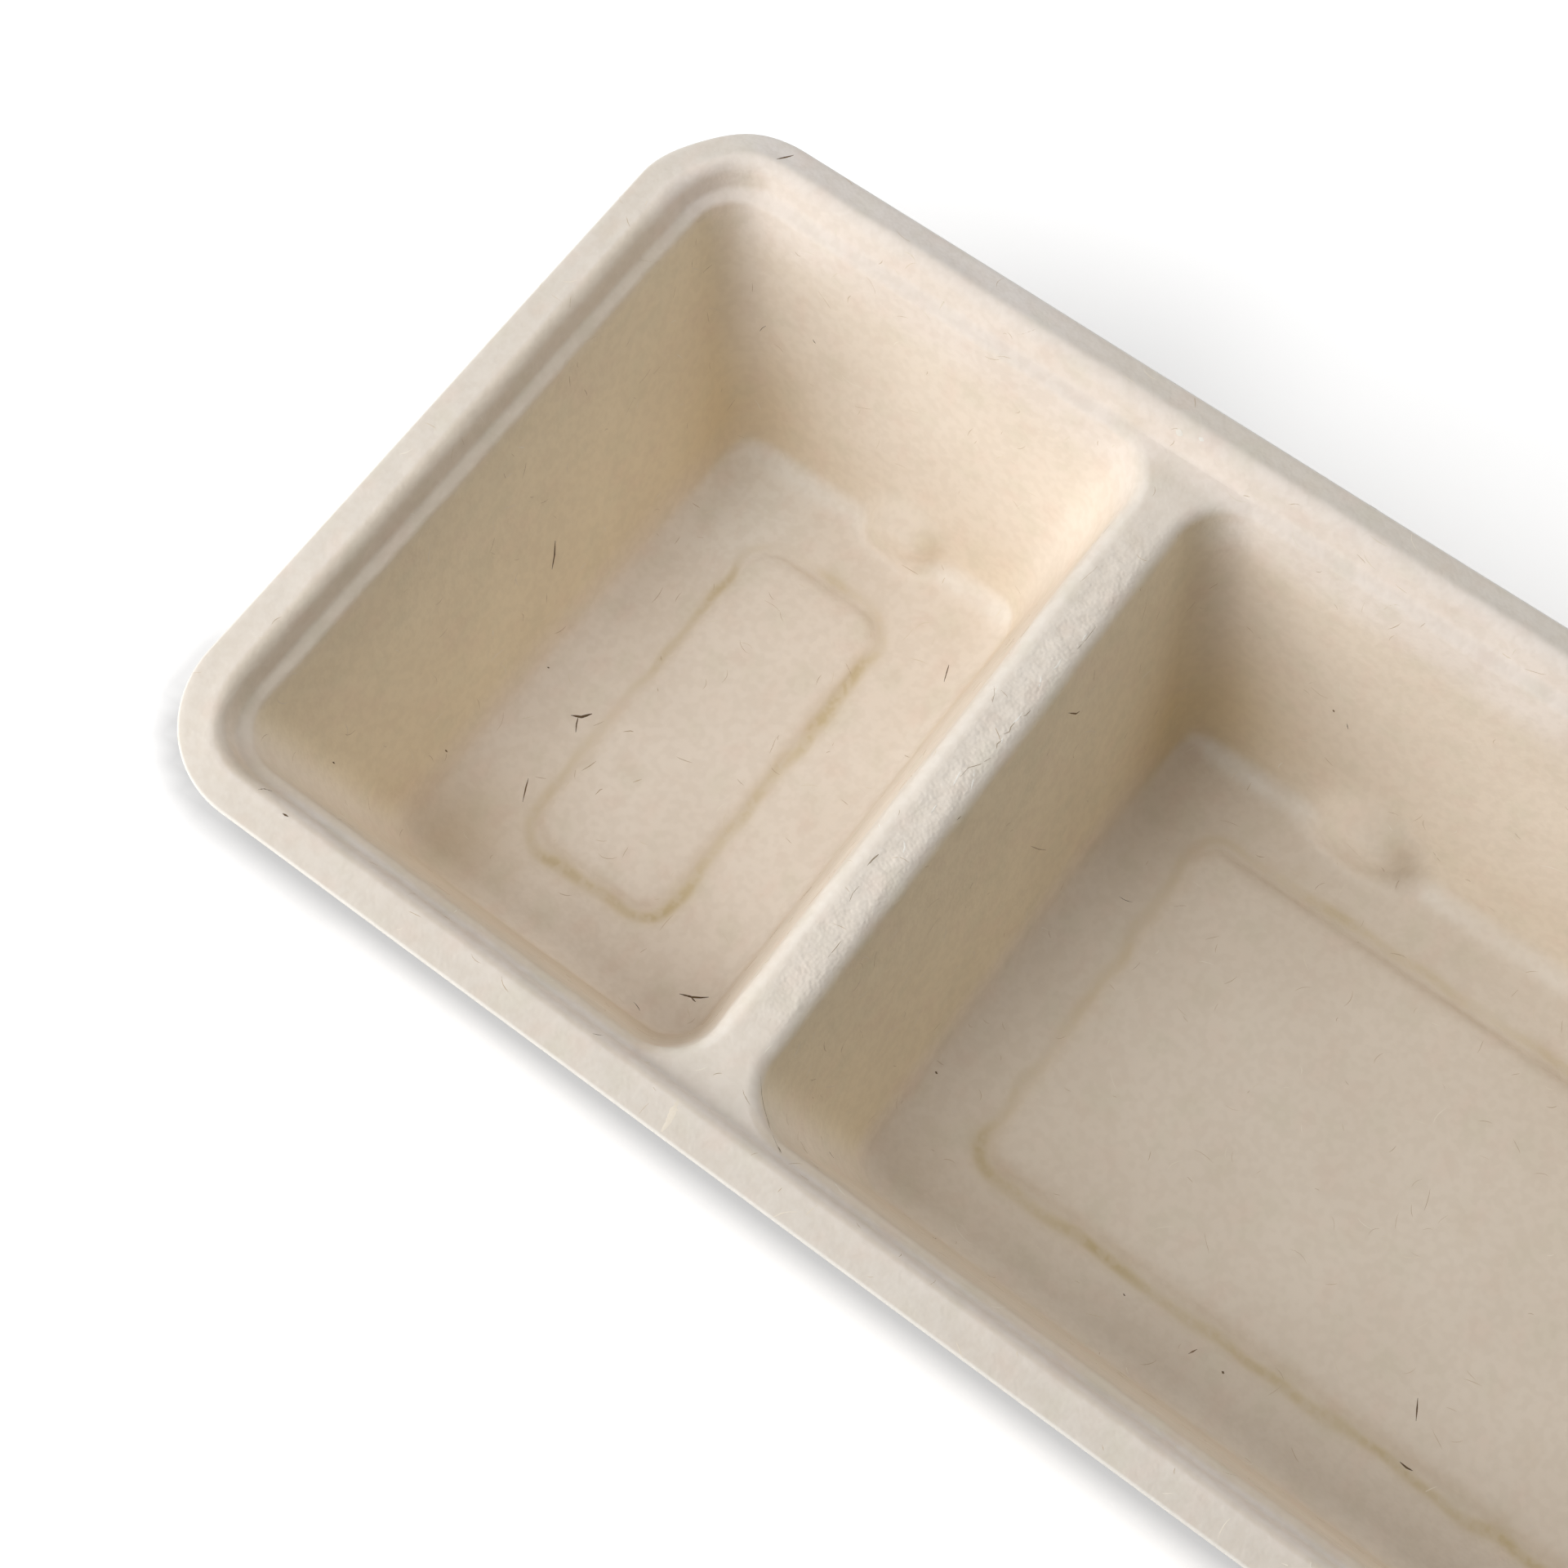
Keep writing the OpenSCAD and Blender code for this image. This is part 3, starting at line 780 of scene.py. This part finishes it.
def face_sampler(tray):
    """A way to pick seeded random places all over the shell, by area."""
    mesh = tray.data
    areas = np.empty(len(mesh.polygons))
    mesh.polygons.foreach_get("area", areas)
    share = np.cumsum(areas) / areas.sum()
    centres = np.empty(len(mesh.polygons) * 3)
    mesh.polygons.foreach_get("center", centres)
    centres = centres.reshape(-1, 3) / MM
    normals = np.empty(len(mesh.polygons) * 3)
    mesh.polygons.foreach_get("normal", normals)
    normals = normals.reshape(-1, 3)

    def pick(rng):
        i = min(int(np.searchsorted(share, rng.random())), len(share) - 1)
        return Vector(centres[i]), Vector(normals[i])

    return pick


def scatter(strands, pick, count, lengths, widths, curl):
    """Seeded random strands over the whole shell; lengths and widths in mm, curl in radians a step."""
    rng = strands.random
    for _ in range(count):
        spot, normal = pick(rng)
        heading = normal.orthogonal()
        heading.rotate(Quaternion(normal, rng.uniform(0, 2 * math.pi)))
        length = rng.uniform(*lengths) * rng.uniform(0.5, 1)
        steps = 4
        path = [spot]
        turn = rng.uniform(-curl, curl)
        for _ in range(steps):
            heading.rotate(Quaternion(normal, turn + rng.uniform(-0.15, 0.15)))
            path.append(path[-1] + heading * (length / steps))
        strands.lay(path, rng.uniform(*widths))


# Side of the square image that the camera frames, in pixels
IMAGE_SIDE = 1920
# Marks that stand out on the tray: width in mm, then places along each one in that image
DARK_MARKS = [
    (0.30, [(680, 662), (679, 680), (676, 697)]),
    (0.45, [(699, 876), (712, 878), (725, 874)]),
    (0.25, [(708, 878), (706, 886), (705, 897)]),
    (0.22, [(647, 953), (644, 964), (640, 982)]),
    (0.30, [(832, 1217), (848, 1221), (868, 1221)]),
    (0.22, [(846, 1221), (852, 1227)]),
    (0.28, [(951, 195), (960, 193), (972, 190)]),
    (0.20, [(316, 967), (324, 966), (333, 969)]),
    (0.30, [(346, 996), (353, 1000)]),
    (0.25, [(1308, 873), (1318, 874), (1322, 871)]),
    (0.40, [(1632, 869), (1634, 872)]),
    (0.20, [(1649, 886), (1651, 893)]),
    (0.34, [(1145, 1312), (1148, 1315)]),
    (0.28, [(1375, 1584), (1378, 1587)]),
    (0.40, [(1496, 1679), (1499, 1682)]),
    (0.22, [(1455, 1658), (1466, 1652)]),
    (0.30, [(1714, 1790), (1722, 1797), (1730, 1801)]),
    (0.26, [(407, 933), (410, 935)]),
    (0.26, [(545, 918), (548, 921)]),
    (0.20, [(1162, 814), (1159, 824), (1156, 835)]),
    (0.22, [(670, 817), (673, 818)]),
    (0.24, [(1736, 1712), (1734, 1740)]),
]
FAINT_MARKS = [
    (0.16, [(763, 896), (772, 895), (776, 896)]),
    (0.16, [(712, 944), (722, 938), (730, 932)]),
    (0.16, [(729, 973), (735, 967), (738, 966)]),
    (0.18, [(775, 958), (786, 954)]),
    (0.16, [(809, 803), (810, 809)]),
    (0.14, [(805, 842), (806, 847)]),
    (0.16, [(1262, 1036), (1272, 1040), (1281, 1041)]),
]
PALE_MARKS = [
    (0.90, [(1440, 527), (1444, 530), (1448, 533)]),
    (0.60, [(1468, 536), (1474, 540)]),
    (0.24, [(1193, 943), (1192, 955), (1189, 967)]),
    (0.22, [(1167, 962), (1172, 952), (1177, 943)]),
    (0.22, [(1217, 857), (1219, 848), (1222, 840)]),
    (0.22, [(1275, 828), (1274, 835), (1272, 842)]),
    (0.26, [(1107, 1030), (1108, 1038), (1106, 1044)]),
    (0.26, [(1076, 1008), (1078, 1015)]),
    (0.24, [(1252, 872), (1246, 881), (1240, 886)]),
    (0.22, [(1228, 902), (1226, 911)]),
    (0.30, [(1300, 806), (1296, 814), (1290, 820)]),
    (0.30, [(1331, 776), (1325, 785)]),
    (0.20, [(1147, 985), (1140, 996)]),
]
RIM_NICK = [
    (1.1, [(830, 1345), (826, 1358), (820, 1370), (816, 1380)]),
    (0.7, [(822, 1366), (817, 1376), (810, 1386)]),
]
# Dark strands as painted shade: in the divider's fine cracks, and a shadow line along the large
# compartment's near corner by the divider
CRACK_SHADOW_MARKS = [
    (0.09, [(1342, 767), (1330, 783), (1319, 795)]),
    (0.12, [(1262, 870), (1256, 876), (1248, 878)]),
    (0.15, [(1243, 884), (1238, 890), (1236, 896), (1229, 899)]),
    (0.13, [(1227, 906), (1221, 911), (1220, 917)]),
    (0.09, [(1217, 840), (1218, 850), (1215, 860)]),
    (0.10, [(1213, 928), (1200, 936), (1186, 940), (1176, 951)]),
    (0.18, [(1177, 999), (1172, 1004)]),
    (0.22, [(1076, 1046), (1069, 1052), (1062, 1060)]),
    (0.09, [(1052, 1085), (1044, 1094), (1040, 1104)]),
    (0.10, [(1030, 1152), (1024, 1160), (1014, 1172)]),
    (0.10, [(931, 1318), (933, 1342), (939, 1368), (947, 1392), (955, 1411)]),
    (0.16, [(953, 1404), (957, 1412)]),
]


def view_ray(u, v):
    """The ray through a place in the image, as origin and direction in mm."""
    camera = bpy.context.scene.camera
    data = camera.data
    turn = camera.rotation_euler.to_matrix()
    x = (u / IMAGE_SIDE - 0.5 + data.shift_x) * data.sensor_width / data.lens
    y = (0.5 - v / IMAGE_SIDE) * data.sensor_width / data.lens
    return camera.location / MM, (turn @ Vector((x, y, -1))).normalized()


def lay_seen(strands, marks):
    """Strands at the places where the tray shows them, given as image places along each one."""
    for width, places in marks:
        path = []
        for u, v in places:
            hit = strands.surface.ray_cast(*view_ray(u, v))[0]
            if hit is not None:
                path.append(hit)
        if len(path) > 1:
            full = []
            for a, b in zip(path, path[1:]):
                full += [a, a.lerp(b, 0.5)]
            strands.lay(full + [path[-1]], width, 0.03)


def make_strands(tray):
    """Dark hairs, brown and pale fibres, the painted shade in the fine cracks and at the large compartment's
    near corner by the divider, and the nicks, each kind as one piece.
    """
    surface = BVHTree.FromPolygons(
        [v.co / MM for v in tray.data.vertices], [tuple(p.vertices) for p in tray.data.polygons]
    )
    pick = face_sampler(tray)
    hairs = Strands("dark_fibres", surface, 31)
    lay_seen(hairs, DARK_MARKS)
    scatter(hairs, pick, 26, (0.5, 2.4), (0.08, 0.18), 0.25)
    hairs.build(strand_material("dark_fibre", srgb(92, 74, 56), srgb(136, 112, 84)))
    brown = Strands("brown_fibres", surface, 32)
    lay_seen(brown, FAINT_MARKS)
    scatter(brown, pick, 1300, (0.6, 2.6), (0.05, 0.11), 0.3)
    brown.build(strand_material("brown_fibre", srgb(184, 161, 132), srgb(212, 194, 168)))
    # Painted shade in the divider's cracks and at the large compartment's near corner
    crack_shadows = Strands("divider_crack_shadows", surface, 34)
    lay_seen(crack_shadows, CRACK_SHADOW_MARKS)
    crack_shadows.build(strand_material("crack_shade", srgb(150, 134, 112), srgb(180, 165, 144)))
    nicks = Strands("pale_nicks", surface, 35)
    lay_seen(nicks, PALE_MARKS)
    nicks.build(strand_material("torn_fibre", srgb(236, 229, 216), PALE_COLOUR))
    pale = Strands("pale_fibres", surface, 33)
    lay_seen(pale, RIM_NICK)
    scatter(pale, pick, 1100, (0.8, 3.4), (0.08, 0.18), 0.3)
    pale.build(strand_material("pale_fibre", srgb(226, 212, 190), srgb(244, 236, 222)))


# Materials


class Nodes:
    """A short way to write node trees: each call adds one node and returns its output."""

    def __init__(self, material):
        material.use_nodes = True
        self.tree = material.node_tree
        self.shader = self.tree.nodes["Principled BSDF"]
        self.place = self.tree.nodes.new("ShaderNodeTexCoord").outputs["Object"]

    def link(self, value, socket):
        if isinstance(value, bpy.types.NodeSocket):
            self.tree.links.new(value, socket)
        else:
            socket.default_value = value

    def noise(self, per_metre, detail, rough=0.5):
        node = self.tree.nodes.new("ShaderNodeTexNoise")
        node.inputs["Scale"].default_value = per_metre
        node.inputs["Detail"].default_value = detail
        node.inputs["Roughness"].default_value = rough
        self.link(self.place, node.inputs["Vector"])
        return node.outputs["Fac"]

    def ramp(self, value, low, high, to_low=0.0, to_high=1.0):
        node = self.tree.nodes.new("ShaderNodeMapRange")
        node.interpolation_type = "SMOOTHSTEP"
        self.link(value, node.inputs["Value"])
        for name, number in (("From Min", low), ("From Max", high), ("To Min", to_low), ("To Max", to_high)):
            self.link(number, node.inputs[name])
        return node.outputs["Result"]

    def math(self, operation, a, b=0.0):
        node = self.tree.nodes.new("ShaderNodeMath")
        node.operation = operation
        self.link(a, node.inputs[0])
        self.link(b, node.inputs[1])
        return node.outputs[0]

    def mix(self, factor, a, b):
        node = self.tree.nodes.new("ShaderNodeMix")
        node.data_type = "RGBA"
        self.link(factor, node.inputs["Factor"])
        self.link(a, node.inputs["A"])
        self.link(b, node.inputs["B"])
        return node.outputs["Result"]

    def attribute(self, name, output="Fac"):
        node = self.tree.nodes.new("ShaderNodeAttribute")
        node.attribute_name = name
        return node.outputs[output]

    def bump(self, height, millimetres):
        node = self.tree.nodes.new("ShaderNodeBump")
        node.inputs["Distance"].default_value = millimetres * MM
        self.link(height, node.inputs["Height"])
        return node.outputs["Normal"]


def pulp_material():
    """Hot-pressed bagasse pulp: cream, faintly mottled, warmer on the walls, stained at the creases, with
    painted light and shade in its tint.
    """
    material = bpy.data.materials.new("bagasse_pulp")
    n = Nodes(material)
    # The clots and fibres of the pulp, over the sheet's slow changes of colour and its painted light and
    # shade
    colour = n.attribute("tint", "Color")
    clots = n.noise(680, 1.0, 0.6)
    colour = n.mix(n.ramp(clots, 0.36, 0.62, 0.09, 0.0), colour, CLOT_COLOUR)
    # The brown line that dries in at the foot of each panel's border: a narrow core in a wider haze
    line = n.math("ABSOLUTE", n.attribute("crease"))
    core = n.math("MULTIPLY", n.ramp(line, 1.3, 0.1, 0.0, 1.05), n.ramp(clots, 0.35, 0.6, 0.5, 1.0))
    stain = n.math("ADD", core, n.ramp(line, 2.4, 0.5, 0.0, 0.35))
    stain = n.math("MULTIPLY", stain, n.attribute("stain"))
    colour = n.mix(stain, colour, STAIN_COLOUR)
    # The trimmed edge is paler: partly the paler inside of the sheet, partly a painted highlight along its
    # rounded edge
    edge = n.ramp(n.attribute("edge"), 0.45, 0.12, 0.0, 0.7)
    colour = n.mix(edge, colour, PALE_COLOUR)
    n.link(colour, n.shader.inputs["Base Color"])
    n.shader.inputs["Roughness"].default_value = 0.9
    n.shader.inputs["Specular IOR Level"].default_value = 0.2
    # The relief of the fibres, stronger where the divider's top is torn
    relief = n.math("ADD", clots, n.math("MULTIPLY", n.noise(2200, 0.0), 0.5))
    rough = n.math("ADD", n.math("MULTIPLY", n.attribute("torn"), 2.0), 1.0)
    n.link(n.bump(n.math("MULTIPLY", relief, rough), 0.055), n.shader.inputs["Normal"])
    return material


def strand_material(name, dark, light):
    """Loose fibres, each with its own tone between two colours."""
    material = bpy.data.materials.new(name)
    n = Nodes(material)
    tone = n.mix(n.attribute("tone"), dark, light)
    speckle = n.ramp(n.noise(3000, 1.0), 0.3, 0.7, 0.0, 0.35)
    n.link(n.mix(speckle, tone, light), n.shader.inputs["Base Color"])
    n.shader.inputs["Roughness"].default_value = 0.85
    n.shader.inputs["Specular IOR Level"].default_value = 0.2
    n.link(n.bump(n.noise(2000, 1.0), 0.02), n.shader.inputs["Normal"])
    return material


# Stage

FLOOR_WHITE = 0.86
FLOOR_GLOW = 0.47
FLOOR_REACH = 3000
# A hair below the tray's foot, so that the two don't share a plane, in mm
FLOOR_DROP = 0.05
WORLD_STRENGTH = 0.088
LIGHT_TARGET = Vector((-0.05, 0, 0.03))
# The outline that the shade round the near corner of the small end fades out at
HALO_BOX = [-158.4, 160.0, -51.9, 90.0, 17.9]


def floor_shade(points):
    """The soft shade that the tray casts close by, as the whiteness of the floor at each point."""
    x = points[:, 0]
    y = points[:, 1]
    gap = crease_distance(points, RIM_BOX)
    left = crease_distance(points, [RIM_BOX[0] - 13] + RIM_BOX[1:])
    contact = 0.97 * smoothstep((-1.0 - np.minimum(gap, left)) / 9)
    # The shade that reaches out round the near corner of the small end
    out = crease_distance(points, HALO_BOX)
    halo = 0.42 * smoothstep((8 - out) / 6)
    halo += (0.08 + 0.27 * smoothstep((-36 - y) / 12)) * smoothstep((4.5 - out) / 5)
    halo *= smoothstep((-100 - x) / 20) * smoothstep((-20 - y) / 14)
    contact = np.maximum(contact, halo)
    # The wide faint shade behind the far long side
    behind = 0.26 * smoothstep((y - 60) / 12) * smoothstep((68 - gap) / 50)
    behind *= smoothstep((-45 - x) / 35) * smoothstep((x + 150) / 25)
    return FLOOR_WHITE * (1 - contact) * (1 - behind)


def floor_material():
    """White paper that the camera sees a little brighter than the tray does."""
    material = bpy.data.materials.new("floor_white")
    material.cycles.emission_sampling = "NONE"
    material.use_nodes = True
    tree = material.node_tree
    nodes = tree.nodes
    links = tree.links
    nodes.clear()
    output = nodes.new("ShaderNodeOutputMaterial")
    diffuse = nodes.new("ShaderNodeBsdfDiffuse")
    shade = nodes.new("ShaderNodeAttribute")
    shade.attribute_name = "shade"
    links.new(shade.outputs["Fac"], diffuse.inputs["Color"])
    glow = nodes.new("ShaderNodeEmission")
    glow.inputs["Color"].default_value = (1, 1, 1, 1)
    path = nodes.new("ShaderNodeLightPath")
    level = nodes.new("ShaderNodeMath")
    level.operation = "MULTIPLY"
    level.inputs[1].default_value = FLOOR_GLOW
    links.new(path.outputs["Is Camera Ray"], level.inputs[0])
    links.new(level.outputs[0], glow.inputs["Strength"])
    total = nodes.new("ShaderNodeAddShader")
    links.new(diffuse.outputs[0], total.inputs[0])
    links.new(glow.outputs[0], total.inputs[1])
    links.new(total.outputs[0], output.inputs["Surface"])
    return material


def make_stage():
    """The floor: a grid that is fine near the tray, to carry the shade, and reaches far out."""
    mesh = bpy.data.meshes.new("floor")
    xs = np.concatenate([[-FLOOR_REACH], np.arange(-240, 241, 4), [FLOOR_REACH]])
    ys = np.concatenate([[-FLOOR_REACH], np.arange(-160, 161, 2.5), [FLOOR_REACH]])
    points = np.array([(x, y, 0) for y in ys for x in xs], float)
    n = len(xs)
    first = np.array([j * n + i for j in range(len(ys) - 1) for i in range(n - 1)])
    faces = np.stack([first, first + 1, first + n + 1, first + n], 1)
    mesh.from_pydata((points * MM).tolist(), [], faces.tolist())
    layer = mesh.attributes.new("shade", "FLOAT", "POINT")
    layer.data.foreach_set("value", floor_shade(points).astype(np.float32))
    floor = bpy.data.objects.new("floor", mesh)
    floor.location.z = -FLOOR_DROP * MM
    bpy.context.scene.collection.objects.link(floor)
    floor.data.materials.append(floor_material())


def make_world():
    """A dim white room, which the camera sees as full white."""
    world = bpy.data.worlds.new("studio")
    bpy.context.scene.world = world
    world.use_nodes = True
    tree = world.node_tree
    nodes = tree.nodes
    background = nodes["Background"]
    background.inputs["Color"].default_value = (1, 1, 1, 1)
    path = nodes.new("ShaderNodeLightPath")
    mix = nodes.new("ShaderNodeMapRange")
    mix.inputs["To Min"].default_value = WORLD_STRENGTH
    mix.inputs["To Max"].default_value = 1.0
    tree.links.new(path.outputs["Is Camera Ray"], mix.inputs["Value"])
    tree.links.new(mix.outputs["Result"], background.inputs["Strength"])


def make_soft_box(name, azimuth, elevation, distance, size, watts, colour):
    """A rectangular soft box that faces the middle of the part of the tray in view; angles in degrees."""
    data = bpy.data.lights.new(name, "AREA")
    data.shape = "RECTANGLE"
    data.size, data.size_y = size
    data.energy = watts
    data.color = colour
    light = bpy.data.objects.new(name, data)
    a = math.radians(azimuth)
    e = math.radians(elevation)
    direction = Vector((math.cos(a) * math.cos(e), math.sin(a) * math.cos(e), math.sin(e)))
    light.location = LIGHT_TARGET + direction * distance
    light.rotation_euler = direction.to_track_quat("Z", "Y").to_euler()
    bpy.context.scene.collection.objects.link(light)


make_camera()
tray = make_tray()
tray.data.materials.append(pulp_material())
make_strands(tray)
make_stage()
make_world()
warm = (1.0, 0.99, 0.985)
cool = (0.97, 0.985, 1.0)
# Name, azimuth, elevation, distance, size, watts, colour
make_soft_box("key_high", 230, 55, 0.85, (0.45, 0.40), 3.0, warm)
make_soft_box("key_low", 226, 27, 0.85, (0.75, 0.45), 4.7, warm)
make_soft_box("fill", 76, 35, 1.5, (1.4, 1.4), 9.3, cool)

bpy.context.scene.view_settings.view_transform = "Standard"
